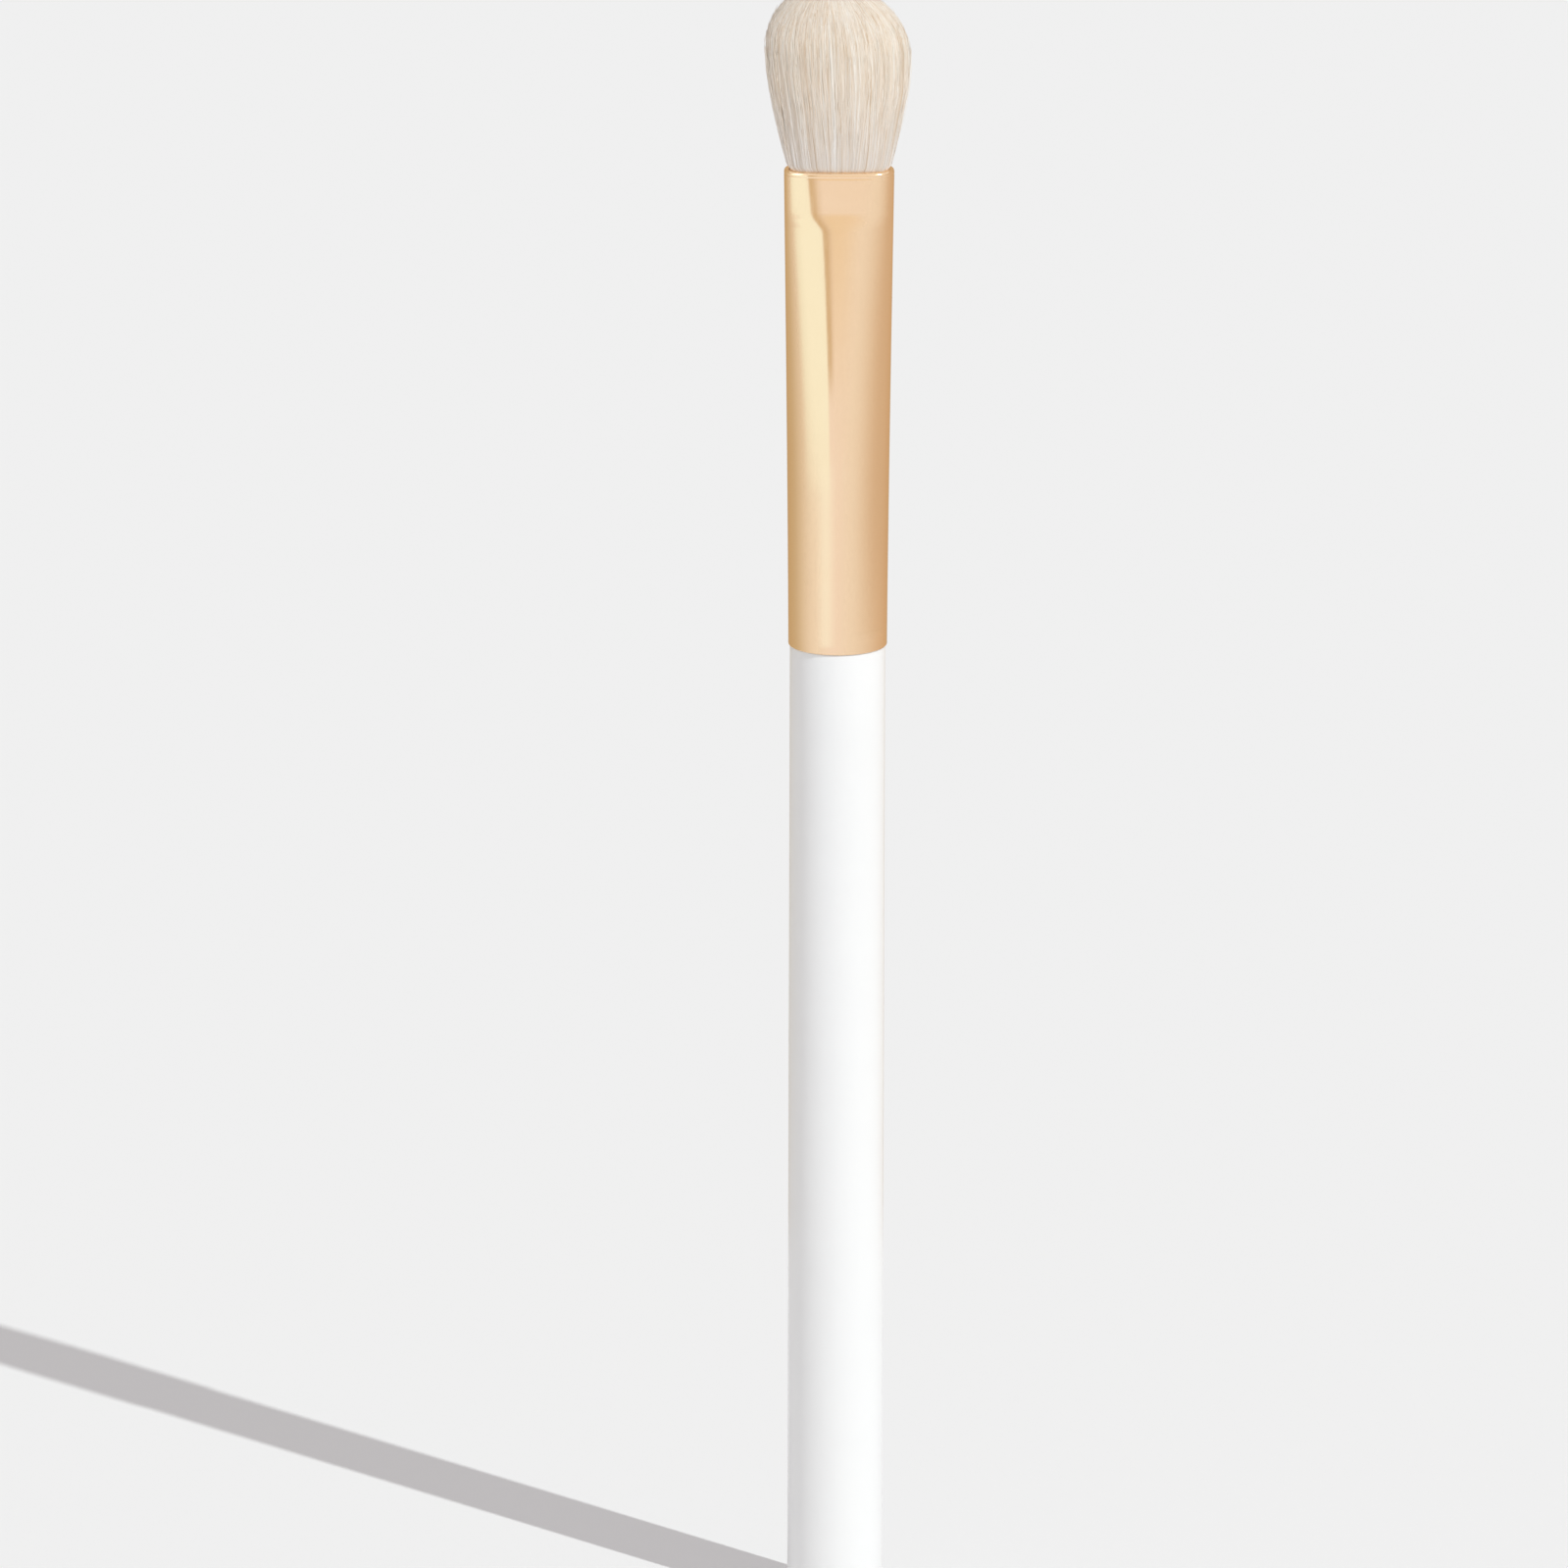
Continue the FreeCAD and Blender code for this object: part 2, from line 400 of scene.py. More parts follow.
def spreadValue(tree, source, low, high):
    limits = {"From Min": 0.3, "From Max": 0.7, "To Min": low, "To Max": high}  # most of the noise is there
    span = addNode(tree, "ShaderNodeMapRange", limits)
    tree.links.new(source, span.inputs["Value"])
    return span.outputs["Result"]


def bumpFrom(tree, source, strength, depth, shader):
    bump = addNode(tree, "ShaderNodeBump", {"Strength": strength, "Distance": depth * mm})
    tree.links.new(source, bump.inputs["Height"])
    tree.links.new(bump.outputs["Normal"], shader.inputs["Normal"])


def surfaceFrom(tree, shader, size, tint, polish, dents):
    colour = mixColours(tree, tint.outputs["Mask"], *size["colours"])
    tree.links.new(colour, shader.inputs["Base Color"])
    tree.links.new(spreadValue(tree, polish.outputs["Mask"], *size["roughness"]), shader.inputs["Roughness"])
    bumpFrom(tree, dents.outputs["Mask"], *size["bump"], shader)  # strength, and depth in millimetres


# Handle: a straight turned stick in white lacquer, its foot rounded, with the tenon that the ferrule takes
handle = {
    "sides": 128,
    "radius": 3.5,
    "footRadius": 0.8,
    "footSteps": 8,
    "shoulderRadius": 0.12,
    "shoulderSteps": 4,
    "tenonRadius": 3.22,
    "tenonLength": 11,
    "tenonChamfer": 0.5,
    "shaftSteps": 12,
    "sharpAngle": 35,
    "colours": ((0.885, 0.885, 0.885), (0.86, 0.86, 0.862)),
    "cloudPatches": 260,
    "skinPatches": 1600,
    "grainLines": 1400,
    "grainStretch": 18,
    "roughness": (0.28, 0.38),
    "bump": (0.06, 0.02),
    "coat": 0.35,
    "coatRoughness": 0.14,
}


def modelHandle(size):
    radius, foot, shoulder = size["radius"], size["footRadius"], size["shoulderRadius"]
    tenon, chamfer = size["tenonRadius"], size["tenonChamfer"]
    tenonTop = shoulderHeight + size["tenonLength"]
    profile = []
    for turn in arcTurns(-90, 0, size["footSteps"]):
        profile.append((radius - foot + foot * math.cos(turn), foot + foot * math.sin(turn)))
    for height in evenSteps(foot, shoulderHeight - shoulder, size["shaftSteps"])[1:]:
        profile.append((radius, height))
    for turn in arcTurns(0, 90, size["shoulderSteps"])[1:]:
        rise = shoulder * math.sin(turn)
        profile.append((radius - shoulder + shoulder * math.cos(turn), shoulderHeight - shoulder + rise))
    profile += [(tenon, shoulderHeight), (tenon, tenonTop - chamfer), (tenon - chamfer, tenonTop)]
    piece = drawTube("handle_stick", size["sides"], [(r, r, z) for r, z in profile])
    capEnds()
    endEditing(size["sharpAngle"])
    return piece


def lacquerFinish(size):
    material, tree, shader = newMaterial("whiteLacquer")
    clouds = useGroup(tree, softMottle, Patches=size["cloudPatches"])
    grain = useGroup(tree, drawnLines, Lines=size["grainLines"], Stretch=size["grainStretch"])
    skin = useGroup(tree, softMottle, Patches=size["skinPatches"])
    surfaceFrom(tree, shader, size, clouds, grain, skin)
    shader.inputs["Coat Weight"].default_value = size["coat"]
    shader.inputs["Coat Roughness"].default_value = size["coatRoughness"]
    return material


stick = modelHandle(handle)
dress(stick, lacquerFinish(handle))
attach(stick, "brush")
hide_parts("handle")
print("handle turned")


# Ferrule: a drawn gold tube, round on the handle, pressed flat to a rolled lip at the mouth
ferrule = {
    "sides": 160,
    "baseDiameter": 7.24,
    "mouthWidth": 8.06,
    "mouthThickness": 3.6,
    "pressedLength": 3.7,
    "flatStart": 12,
    "widening": 1.25,
    "flattening": 1.4,
    "taperPower": 2.05,
    "creasePower": 2.75,
    "mouthPower": 3.3,
    "wall": 0.25,
    "lipRadius": 0.3,
    "lipDrop": 0.14,
    "lipSteps": 10,
    "groove": {"below": 0.22, "depth": 0.03, "from": 0.55, "to": 0.3},
    "crease": {"below": 0.9, "above": 0.6, "depth": 0.1, "steps": 10},
    "edgeRadius": 0.06,
    "edgeSteps": 3,
    "roundSteps": 8,
    "taperSteps": 40,
    "pressedSteps": 4,
    "sharpAngle": 40,
    "colours": ((1.0, 0.745, 0.495), (0.985, 0.72, 0.47)),
    "grazingTint": (0.9, 0.76, 0.6),
    "cloudPatches": 420,
    "drawnLines": 7000,
    "lineStretch": 90,
    "roughness": (0.09, 0.14),
    "bump": (0.05, 0.01),
}
lipBase = mouthHeight - ferrule["lipRadius"] - ferrule["lipDrop"]
creaseHeight = mouthHeight - ferrule["pressedLength"]
flatStart = shoulderHeight + ferrule["flatStart"]
creaseLow = creaseHeight - ferrule["crease"]["below"]
creaseHigh = creaseHeight + ferrule["crease"]["above"]


def pressedShare(height):
    share = (height - flatStart) / (creaseHeight - flatStart)
    return min(max(share, 0), 1) ** ferrule["flattening"]


def creaseShare(height):
    return soften(min(max((height - creaseLow) / (creaseHigh - creaseLow), 0), 1))


def ferruleRing(height, inset):
    base, mouth = ferrule["baseDiameter"], ferrule["mouthThickness"]
    share = max(height - shoulderHeight, 0) / (lipBase - shoulderHeight)
    width = base + (ferrule["mouthWidth"] - base) * min(share, 1) ** ferrule["widening"]
    step = mouth * ferrule["crease"]["depth"]  # the press takes in the middle and leaves the corners
    flattened = (base - mouth - step) * pressedShare(height)
    thickness = min(base - flattened - step * creaseShare(height), width)
    return (width / 2 - inset, thickness / 2 - inset, height)


def ovalPower(height):
    taper = 2 + (ferrule["taperPower"] - 2) * pressedShare(height)
    climb = max(height - creaseHeight, 0) / ferrule["pressedLength"]
    press = ferrule["creasePower"] + (ferrule["mouthPower"] - ferrule["creasePower"]) * climb
    return taper + (press - taper) * creaseShare(height)


def wallHeights(start, *legs):
    heights = []
    for end, steps in legs:
        heights += evenSteps(start, end, steps)[1:]
        start = end
    return heights


def modelFerrule(size):
    edge, lip, groove = size["edgeRadius"], size["lipRadius"], size["groove"]
    taperSteps, creaseSteps, pressedSteps = size["taperSteps"], size["crease"]["steps"], size["pressedSteps"]
    wallTop = lipBase - groove["below"]
    rings = []
    for turn in arcTurns(90, 0, size["edgeSteps"]):
        height = shoulderHeight + edge - edge * math.sin(turn)
        rings.append(ferruleRing(height, edge - edge * math.cos(turn)))
    outside = wallHeights(
        shoulderHeight + edge, (flatStart, size["roundSteps"]), (creaseLow, taperSteps),
        (creaseHigh, creaseSteps), (wallTop - groove["depth"], pressedSteps), (wallTop, 1),
    )
    rings += [ferruleRing(height, 0) for height in outside]
    for share in (groove["from"], groove["to"]):
        rings.append(ferruleRing(lipBase - groove["below"] * share, groove["depth"]))
    rings.append(ferruleRing(lipBase, 0))
    for turn in arcTurns(0, 180, size["lipSteps"])[1:]:
        across, through = ferruleRing(lipBase, lip - lip * math.cos(turn))[:2]
        rings.append((across, through, lipBase + lip * math.sin(turn)))
    inside = wallHeights(
        lipBase, (creaseHigh, pressedSteps), (creaseLow, creaseSteps), (flatStart, taperSteps),
        (shoulderHeight, 1),
    )
    rings += [ferruleRing(height, size["wall"]) for height in inside]
    piece = drawTube("ferrule_tube", size["sides"], rings)
    selectOpenEdges()
    bpy.ops.mesh.bridge_edge_loops()
    bpy.ops.object.mode_set(mode="OBJECT")
    for vertex in piece.data.vertices:  # the press gives the oval broader, flatter sides
        height = vertex.co.z / mm
        across, through = ferruleRing(height, 0)[:2]
        turn = math.atan2(vertex.co.y / through, vertex.co.x / across)
        swell = ovalSwell(turn, ovalPower(height))
        vertex.co.x *= swell
        vertex.co.y *= swell
    bpy.ops.object.mode_set(mode="EDIT")
    endEditing(size["sharpAngle"])
    return piece


def goldFinish(size):
    material, tree, shader = newMaterial("goldMetal")
    lines = useGroup(tree, drawnLines, Lines=size["drawnLines"], Stretch=size["lineStretch"])
    clouds = useGroup(tree, softMottle, Patches=size["cloudPatches"])
    surfaceFrom(tree, shader, size, clouds, lines, lines)
    shader.inputs["Metallic"].default_value = 1
    shader.inputs["Specular Tint"].default_value = (*size["grazingTint"], 1)
    return material


tube = modelFerrule(ferrule)
dress(tube, goldFinish(ferrule))
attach(tube, "brush")
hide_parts("ferrule")
print("ferrule drawn and pressed")


# Hair: the form of the tuft, which the core and all the strands share
hair = {
    "seed": 41,
    "neck": (3.38, 1.15),  # half width and half thickness: in the throat, over the lip and at the widest
    "crest": (3.8, 1.54),
    "belly": (5.3, 2.98),
    "throatGap": 0.05,
    "domeHeight": 5.4,
    "tipDome": 5.08,
    "lean": -0.75,
    "leanPower": 3.3,
    "underTilt": 0.04,
    "bend": (0.5, 6.4),  # two heights above the mouth
    "toneColours": [
        (0.0, (0.705, 0.56, 0.425)),
        (0.3, (0.81, 0.71, 0.61)),
        (0.65, (0.875, 0.805, 0.73)),
        (1.0, (0.935, 0.905, 0.87)),
    ],
    # painted shade: the root end of this ramp is greyer and darker, near the mouth
    "lengthAndRootShadeColours": [
        (0.15, (0.93, 0.925, 0.945)),
        (0.55, (1.0, 0.965, 0.92)),
        (0.8, (0.99, 0.965, 0.925)),
        (1.0, (0.895, 0.885, 0.875)),
    ],
    "roughness": 0.5,
    "gloss": 0.12,
}
throatRadius = ferrule["lipRadius"] + hair["throatGap"]
bellyRise = tuftHigh.z / mm - hair["domeHeight"] - mouthHeight
tiny = 1e-9  # keeps a divisor above zero


def tuftHalfSize(rise):
    neck, crest, belly = (np.array(hair[name]) for name in ("neck", "crest", "belly"))
    rise = np.asarray(rise, float)[..., None]
    climb = np.clip((rise + ferrule["lipRadius"] + ferrule["lipDrop"]) / throatRadius, 0, 1)
    throat = neck + (crest - neck) * (1 - np.sqrt(1 - climb ** 2))
    swell = np.sin(np.pi / 2 * np.clip(rise / bellyRise, 0, 1))
    return throat + (belly - crest) * swell


def tuftLean(rise):
    along = np.clip(rise, 0, None) / (bellyRise + hair["domeHeight"])
    return hair["lean"] * along ** hair["leanPower"]


def tuftFacing(points):
    rise = points[..., 2] - mouthHeight
    half = tuftHalfSize(np.minimum(rise, bellyRise))
    climb = np.maximum(rise - bellyRise, 0) / hair["domeHeight"] ** 2
    droop = -hair["underTilt"] * np.clip(1 - rise / bellyRise, 0, 1)
    across = (points[..., 0] - tuftLean(rise)) / half[..., 0] ** 2
    through = points[..., 1] / half[..., 1] ** 2
    facing = np.stack([across, through, climb + droop], -1)
    return facing / np.maximum(np.linalg.norm(facing, axis=-1, keepdims=True), tiny)


def hairFinish(size):
    material, tree, shader = newMaterial("creamHair")
    place = addNode(tree, "ShaderNodeUVMap", uv_map="OFBake")
    split = addNode(tree, "ShaderNodeSeparateXYZ")
    tree.links.new(place.outputs["UV"], split.inputs["Vector"])
    tone = colourRamp(tree, size["toneColours"])  # dark to pale strands
    tree.links.new(split.outputs["X"], tone.inputs["Fac"])
    length = colourRamp(tree, size["lengthAndRootShadeColours"])  # root to tip, the root end greyer and darker as painted shade near the mouth
    tree.links.new(split.outputs["Y"], length.inputs["Fac"])
    blend = addNode(tree, "ShaderNodeMix", {"Factor": 1}, data_type="RGBA", blend_type="MULTIPLY")
    tree.links.new(tone.outputs["Color"], blend.inputs["A"])
    tree.links.new(length.outputs["Color"], blend.inputs["B"])
    tree.links.new(blend.outputs["Result"], shader.inputs["Base Color"])
    shader.inputs["Roughness"].default_value = size["roughness"]
    shader.inputs["Specular IOR Level"].default_value = size["gloss"]
    return material


# Held hair: the bound bundle inside the ferrule, spreading into the pressed mouth
heldHair = {
    "sides": 96,
    "boundRadius": 2.2,
    "base": 14.0,
    "spreadBase": 20.6,
    "lipGap": 0.1,
    "boundSteps": 6,
    "spreadSteps": 12,
    "pressedSteps": 3,
    "sharpAngle": 60,
    "comb": (0.94, 1.0),
}


def modelBundle(size):
    bound, neck = size["boundRadius"], hair["neck"]
    base, spread = shoulderHeight + size["base"], shoulderHeight + size["spreadBase"]
    rings = [(bound, bound, z) for z in evenSteps(base, spread, size["boundSteps"])]
    for share in evenSteps(0, 1, size["spreadSteps"])[1:]:
        across, through = (bound + (half - bound) * soften(share) for half in neck)
        rings.append((across, through, spread + (creaseHeight - spread) * share))
    pressed = evenSteps(creaseHeight, lipBase - size["lipGap"], size["pressedSteps"])[1:]
    rings += [(*neck, z) for z in pressed]
    piece = drawTube("held_hair", size["sides"], rings)
    capEnds()
    endEditing(size["sharpAngle"])
    chance = np.random.default_rng(hair["seed"])
    depth = chance.uniform(*size["comb"], size["sides"])
    for vertex in piece.data.vertices:  # combs the bundle into hairs
        turn = math.atan2(vertex.co.y, vertex.co.x) / (2 * math.pi) % 1
        comb = depth[int(round(turn * size["sides"])) % size["sides"]]
        vertex.co.x *= comb
        vertex.co.y *= comb
    return piece


creamHair = hairFinish(hair)
bundle = modelBundle(heldHair)
dress(bundle, creamHair)
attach(bundle, "brush")
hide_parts("hair_root")


# Tuft core: the full middle of the tuft, behind the strands, coloured dark as painted shade between the
# strands
tuftCore = {
    "sides": 96,
    "share": 0.91,
    "top": 0.98,
    "topAngle": 84,
    "foot": -0.6,
    "throat": 0.25,
    "throatSteps": 4,
    "sideSteps": 9,
    "domeSteps": 9,
    "sharpAngle": 60,
    # painted shade: the core's dark tone and its slope, darker to the left; painted light: the paler crown
    "tone": 0.06,
    "paintedShadeSlope": 8,
    "paintedCrownLight": 0.4,
    "lengthFrom": -1,
    "length": 16,
}


def modelCore(size):
    foot, throat = size["foot"], size["throat"]
    rings = []
    climb = evenSteps(foot, throat, size["throatSteps"])
    for rise in climb + evenSteps(throat, bellyRise, size["sideSteps"])[1:]:
        across, through = tuftHalfSize(rise) * size["share"]
        rings.append((across, through, mouthHeight + rise))
    for turn in arcTurns(0, size["topAngle"], size["domeSteps"])[1:]:
        across, through = np.array(hair["belly"]) * size["share"] * math.cos(turn)
        rise = bellyRise + hair["tipDome"] * size["top"] * math.sin(turn)
        rings.append((across, through, mouthHeight + rise))
    piece = drawTube("tuft_core", size["sides"], rings)
    capEnds()
    endEditing(size["sharpAngle"])
    for vertex in piece.data.vertices:
        vertex.co.x += tuftLean(vertex.co.z / mm - mouthHeight) * mm
    layer = piece.data.uv_layers.new(name="OFBake")  # painted shade: dark, and darker on the left; painted light: paler on the right and at the crown
    for loop in piece.data.loops:
        place = piece.data.vertices[loop.vertex_index].co
        rise = place.z / mm - mouthHeight
        crown = max(rise - bellyRise, 0) / hair["tipDome"]
        tone = size["tone"] + place.x * size["paintedShadeSlope"] + size["paintedCrownLight"] * crown ** 2
        layer.data[loop.index].uv = (tone, (rise - size["lengthFrom"]) / size["length"])
    return piece


core = modelCore(tuftCore)
dress(core, creamHair)
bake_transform(core)
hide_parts("hair_tuft")


# Strands: the free hairs, one tapered strand copied along thousands of paths, in layers
strands = {
    "sides": 3,
    "sharpAngle": 180,
    "rises": [-0.6, -0.14, 0.2, 1.3, 2.8, 4.3, 5.8, 7.3, 8.6],  # heights of the rings above the mouth
    "domeShares": [0.4, 0.7, 0.88, 1.0],  # and the rest, as shares of the way up the dome
    "thickness": 0.07,
    "thicknessSpread": (0.8, 1.2),
    "taperFrom": 0.55,
    "tipRings": 1.6,
    "tipTaper": (0.6, 0.3),
    "gather": 0.5,
    "sideRoom": 1.03,
    "mostCurl": 0.99,
    "leastTip": 0.1,
    "squareness": 0.2,
    "mouthSquareness": 1.1,
    "squareFade": 4,
    "easeFrom": 0.3,
    "easeLength": 7.0,
    "locks": 620,
    "lockLean": 0.03,
    "pull": (0.0, 0.22),
    "wave": 0.01,
    "waveRate": (0.7, 1.5),
    "trim": 0.018,
    "crownFray": 0.5,
    "middleTone": 0.5,
    "lockTone": 0.1,
    "strandTone": 0.24,
    "palest": 0.999,
    "tones": 64,
    "columnMargin": 0.2,
    "rowMargin": 0.02,
    "rootStep": 0.01,
}
plantings = {  # near, far, hug and ceiling are shares of the tuft's form, overlap is in millimetres
    "tuft_sleeve_hair": {
        "count": 2800, "near": 0.83, "far": 0.95, "loose": 0.04, "hug": (0.92, 0.96),
        "overlap": (0.1, 1.3), "width": 1, "evenness": 0.74, "ceiling": 0.95, "paler": 0,
    },
    "tuft_cover_hair": {
        "count": 2800, "near": 0.89, "far": 0.975, "loose": 0.03, "hug": (0.93, 0.975),
        "overlap": (0.1, 2.2), "width": 1, "evenness": 0.74, "ceiling": 0.96, "paler": 0,
    },
    "tuft_core_hair": {
        "count": 2800, "near": 0.0, "far": 0.91, "loose": 0.05, "hug": (0.93, 0.97),
        "overlap": (0.0, 0.8), "width": 1, "evenness": 0.74, "ceiling": 0.97, "paler": 0,
    },
    "tuft_crown_hair": {
        "count": 1600, "near": 0.0, "far": 0.32, "loose": 0.03, "hug": (0.9, 1.0),
        "overlap": (-0.06, 0.06), "width": 1.25, "evenness": 0.74, "ceiling": 1.005, "paler": 0,
    },
    "tuft_tip_hair": {
        "count": 2400, "near": 0.5, "far": 1.0, "loose": 0.05, "hug": (0.96, 1.06),
        "overlap": (0.0, 0.5), "width": 0.4, "evenness": 0.35, "ceiling": 0.99, "paler": 0.2,
    },
    "tuft_stray_hair": {
        "count": 140, "near": 0.6, "far": 1.02, "loose": 0.1, "hug": (1.0, 1.09),
        "overlap": (0.0, 0.5), "width": 0.42, "evenness": 0.35, "ceiling": 1.02, "paler": 0.3,
    },
}


def modelStrand(size):
    count = len(size["rises"]) + len(size["domeShares"])
    piece = drawTube("strand", size["sides"], [(1, 1, i) for i in range(count - 1)])
    bpy.ops.mesh.extrude_region_move(TRANSFORM_OT_translate={"value": (0, 0, mm)})
    bpy.ops.mesh.merge(type="CENTER")
    capEnds()
    endEditing(size["sharpAngle"])
    return piece


def onDisk(chance, near, far, count):
    share = np.sqrt(chance.uniform(near ** 2, far ** 2, count))
    turn = chance.uniform(0, 2 * np.pi, count)
    return np.stack([share * np.cos(turn), share * np.sin(turn)], 1)


def strandPaths(chance, size, planting):
    count, far = planting["count"], planting["far"]
    disk = onDisk(chance, planting["near"], far, count)
    locks = onDisk(chance, 0, 1, size["locks"])
    lockLean = chance.normal(0, size["lockLean"], (size["locks"], 2))
    lockTone = chance.normal(size["middleTone"], size["lockTone"], size["locks"])
    owner = np.argmin(((disk[:, None] - locks[None]) ** 2).sum(2), 1)
    pull = chance.uniform(*size["pull"], count)[:, None]
    drift = chance.normal(0, planting["loose"], (count, 2))
    wave = chance.normal(0, size["wave"], (count, 2))
    waveTurn = chance.uniform(0, 2 * np.pi, count)[:, None]
    waveRate = chance.uniform(*size["waveRate"], count)[:, None]
    trim = chance.normal(0, size["trim"], count)
    tone = lockTone[owner] + planting["paler"] + chance.normal(0, size["strandTone"], count)
    tone = np.clip(tone, 0, size["palest"])

    # each strand's place at the top, drawn towards its lock, and how high it ends there
    top = disk + (locks[owner] - disk) * pull + lockLean[owner] + drift
    reach = np.linalg.norm(top, axis=1, keepdims=True)
    top *= np.minimum(1, far / np.maximum(reach, tiny))
    reach = np.minimum(np.linalg.norm(top, axis=1), 1)
    gather = size["gather"]
    tipShare = reach * (1 - gather) / (1 - reach * gather)
    tipRise = hair["tipDome"] * np.sqrt(1 - tipShare ** 2) * (1 + trim)
    tipRise = tipRise + chance.uniform(*planting["overlap"], count)
    tipRise = np.clip(tipRise, size["leastTip"], hair["tipDome"] * planting["ceiling"])
    hug = chance.uniform(*planting["hug"], count)[:, None]

    # from the mouth up the belly, then in under the dome
    low = np.repeat(np.array(size["rises"])[None], count, 0)
    dome = bellyRise + tipRise[:, None] * np.array(size["domeShares"])[None]
    rise = np.concatenate([low, dome], 1)
    ease = soften(np.clip((rise - size["easeFrom"]) / size["easeLength"], 0, 1))
    at = disk[:, None] + (top - disk)[:, None] * ease[..., None]
    at = at + wave[:, None] * (np.sin(waveTurn + waveRate * rise) * ease)[..., None]
    curl = np.clip((rise - bellyRise) / hair["tipDome"], 0, size["mostCurl"])
    roof = np.sqrt(1 - curl ** 2)
    close = 1 - gather * (1 - roof)
    out = np.maximum(np.linalg.norm(at, axis=2) * close, tiny)
    room = size["sideRoom"] + (hug - size["sideRoom"]) * np.sqrt(curl)
    close = close * np.minimum(1, roof * room / out)
    held = np.clip(1 - rise / size["squareFade"], 0, 1)
    power = 2 + size["squareness"] + (size["mouthSquareness"] - size["squareness"]) * held
    square = ovalSwell(np.arctan2(at[..., 1], at[..., 0]), power)
    flat = at * (close * square)[..., None] * tuftHalfSize(rise)
    flat[..., 0] += tuftLean(rise)
    path = np.concatenate([flat, (mouthHeight + rise)[..., None]], 2) * mm
    return path, tone


def strandCorners(size, faces, ring, rings):
    margin, uv = size["rowMargin"], []
    for face in faces:
        heights = [ring[corner] / (rings - 1) for corner in face]
        if len(face) == 4:
            lows = [i for i, height in enumerate(heights) if height == min(heights)]
            first = lows[0] if lows != [0, 3] else 3
            uv += [((0, 1, 1, 0)[(i - first) % 4], height) for i, height in enumerate(heights)]
        elif max(heights):
            uv += zip((0, 1, 0.5), [margin + (1 - 2 * margin) * height for height in heights])
        else:
            uv += zip((0, 1, 0.5), [size["rootStep"] * i for i in range(3)])
    return np.array(uv)


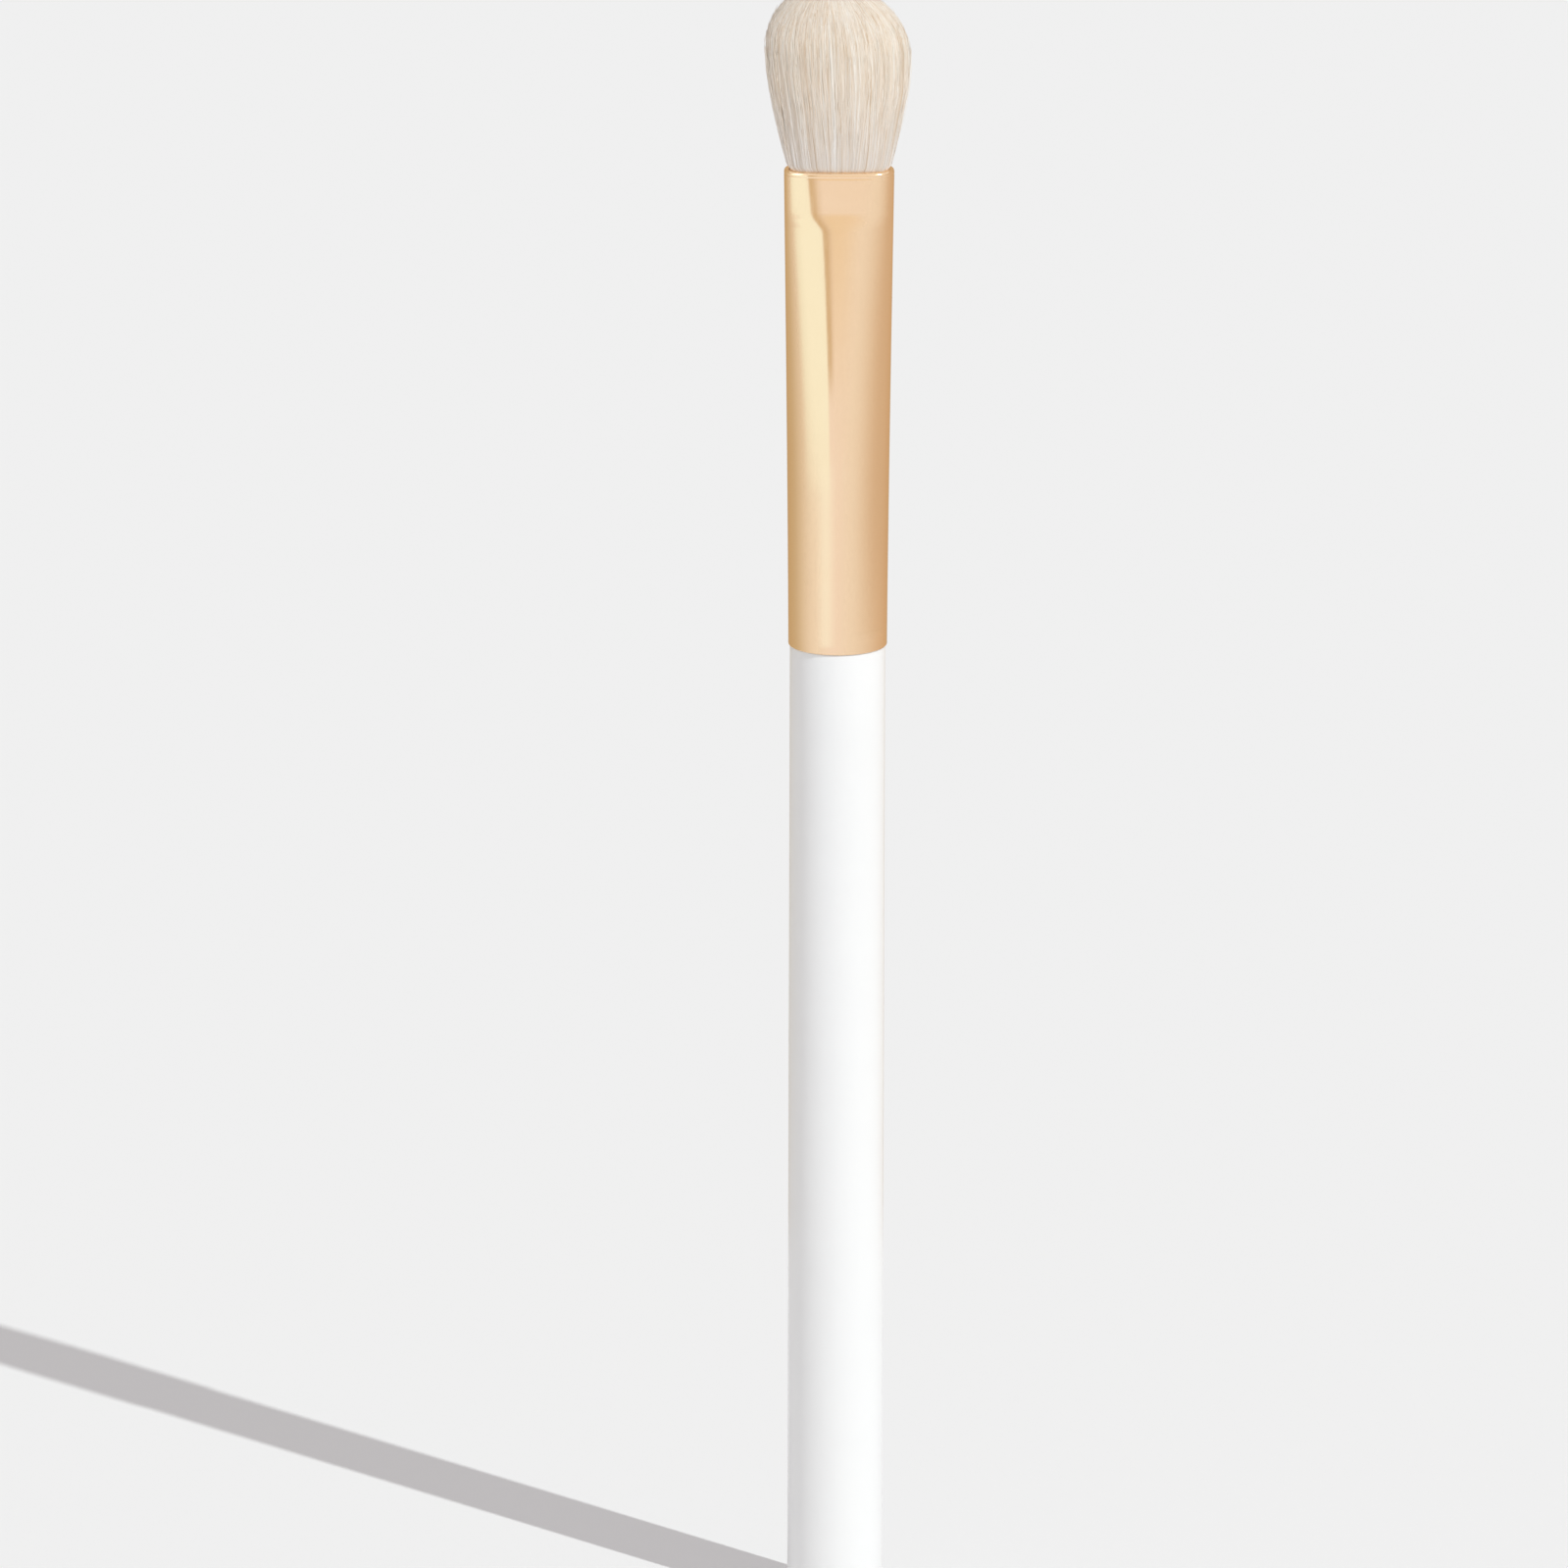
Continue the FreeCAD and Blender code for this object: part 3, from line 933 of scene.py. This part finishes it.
def plantStrands(name, template, size, planting, chance):
    paths, tones = strandPaths(chance, size, planting)
    count, rings = paths.shape[:2]
    corners = np.array([v.co for v in template.data.vertices]) / mm
    ring = np.rint(corners[:, 2]).astype(int)
    ahead = np.gradient(paths, axis=1)
    ahead /= np.linalg.norm(ahead, axis=2, keepdims=True)
    side = np.cross(np.array([0.0, 1.0, 0.0]), ahead)
    side /= np.linalg.norm(side, axis=2, keepdims=True)
    front = np.cross(ahead, side)
    roll = chance.uniform(0, 2 * np.pi, count)[:, None]
    across = corners[None, :, 0] * np.cos(roll) - corners[None, :, 1] * np.sin(roll)
    through = corners[None, :, 0] * np.sin(roll) + corners[None, :, 1] * np.cos(roll)
    taperAt = [0, rings * size["taperFrom"], rings - size["tipRings"], rings - 1]
    taper = np.interp(np.arange(rings), taperAt, [1, 1, *size["tipTaper"]])
    width = size["thickness"] * planting["width"]
    radius = width * mm / 2 * chance.uniform(*size["thicknessSpread"], count)[:, None] * taper[ring][None]
    points = paths[:, ring] + (across * radius)[..., None] * side[:, ring]
    points = points + (through * radius)[..., None] * front[:, ring]

    faces = [list(face.vertices) for face in template.data.polygons]
    shift = len(corners)
    allFaces = [[c + strand * shift for c in face] for strand in range(count) for face in faces]
    mesh = bpy.data.meshes.new(name)
    mesh.from_pydata(points.reshape(-1, 3), [], allFaces)
    mesh.polygons.foreach_set("use_smooth", np.ones(len(allFaces), bool))

    # each strand has the column of its tone, all its sides on the whole column, root to tip
    uv = strandCorners(size, faces, ring, rings)
    column = np.floor(tones * size["tones"])
    inside, margin = size["columnMargin"], size["rowMargin"]
    inColumn = (column[:, None] + inside + (1 - 2 * inside) * uv[None, :, 0]) / size["tones"]
    inRow = np.repeat(margin + (1 - 2 * margin) * uv[None, :, 1], count, 0)
    layer = mesh.uv_layers.new(name="OFBake")
    layer.data.foreach_set("uv", np.stack([inColumn, inRow], 2).astype(np.float32).ravel())

    # strands catch the light partly as one soft form, less so at the crown
    outward = across[..., None] * side[:, ring] + through[..., None] * front[:, ring]
    crown = np.clip((points[..., 2:] / mm - mouthHeight - bellyRise) / hair["tipDome"], 0, 1)
    evened = planting["evenness"] * (1 - size["crownFray"] * np.sqrt(crown))
    facing = (1 - evened) * outward + evened * tuftFacing(points / mm)
    mesh.normals_split_custom_set_from_vertices(facing.reshape(-1, 3))
    piece = bpy.data.objects.new(name, mesh)
    bpy.context.collection.objects.link(piece)
    return piece


strand = modelStrand(strands)
chance = np.random.default_rng(hair["seed"])
for plantName, planting in plantings.items():
    planted = plantStrands(plantName, strand, strands, planting, chance)
    dress(planted, creamHair)
    planted.visible_shadow = False  # light passes on through fine hair; the core casts the tuft's shadow
    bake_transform(planted)
    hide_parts("hair_tuft")
bpy.data.objects.remove(strand)
print("hair planted")


# Glue and thread inside the ferrule keep their CAD forms
glue = {
    "colours": ((0.78, 0.66, 0.42), (0.62, 0.47, 0.25)),
    "patches": 700,
    "roughness": (0.22, 0.4),
    "bump": (0.2, 0.03),
}
thread = {
    "colours": ((0.85, 0.83, 0.78), (0.66, 0.62, 0.55)),
    "fibreLines": 5000,
    "fibreStretch": 0.2,
    "roughness": (0.7, 0.9),
    "bump": (0.4, 0.03),
}


def glueFinish(size):
    material, tree, shader = newMaterial("curedGlue")
    clouds = useGroup(tree, softMottle, Patches=size["patches"])
    surfaceFrom(tree, shader, size, clouds, clouds, clouds)
    return material


def threadFinish(size):
    material, tree, shader = newMaterial("boundThread")
    fibres = useGroup(tree, drawnLines, Lines=size["fibreLines"], Stretch=size["fibreStretch"])
    surfaceFrom(tree, shader, size, fibres, fibres, fibres)
    return material


curedGlue = glueFinish(glue)
for glueName in ("tenon_glue", "root_glue"):
    dress(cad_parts[glueName], curedGlue)
dress(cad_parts["root_tie"], threadFinish(thread))
print("glue and thread dressed")
